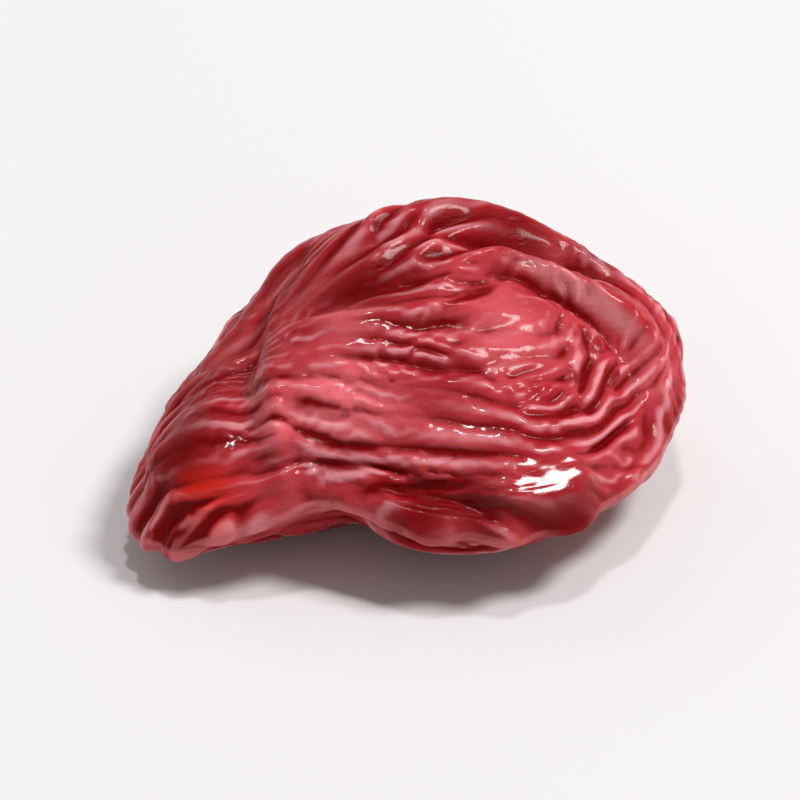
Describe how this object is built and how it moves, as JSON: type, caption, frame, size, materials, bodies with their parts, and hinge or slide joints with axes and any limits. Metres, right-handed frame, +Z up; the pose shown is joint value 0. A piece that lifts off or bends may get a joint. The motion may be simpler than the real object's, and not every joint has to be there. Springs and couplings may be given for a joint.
{
  "type": "dried cranberry",
  "caption": "Dried, wrinkled crimson cranberry half, a closed leathery pouch with a thin wavy front rim and a drooping lobe at one end.",
  "frame": {"origin": "middle of the berry's length and width, at the level of the flat spot that it rests on", "axes": "+X along the berry to its blunt end, +Y to the back fold, +Z up, away from what it rests on"},
  "size_m": [0.0144, 0.011, 0.0061],
  "materials": {
    "skin": "satin dark crimson skin with a soft sheen, slightly translucent where it is thin"
  },
  "bodies": {
    "root": {"dried_cranberry": "skin"}
  },
  "joints": []
}
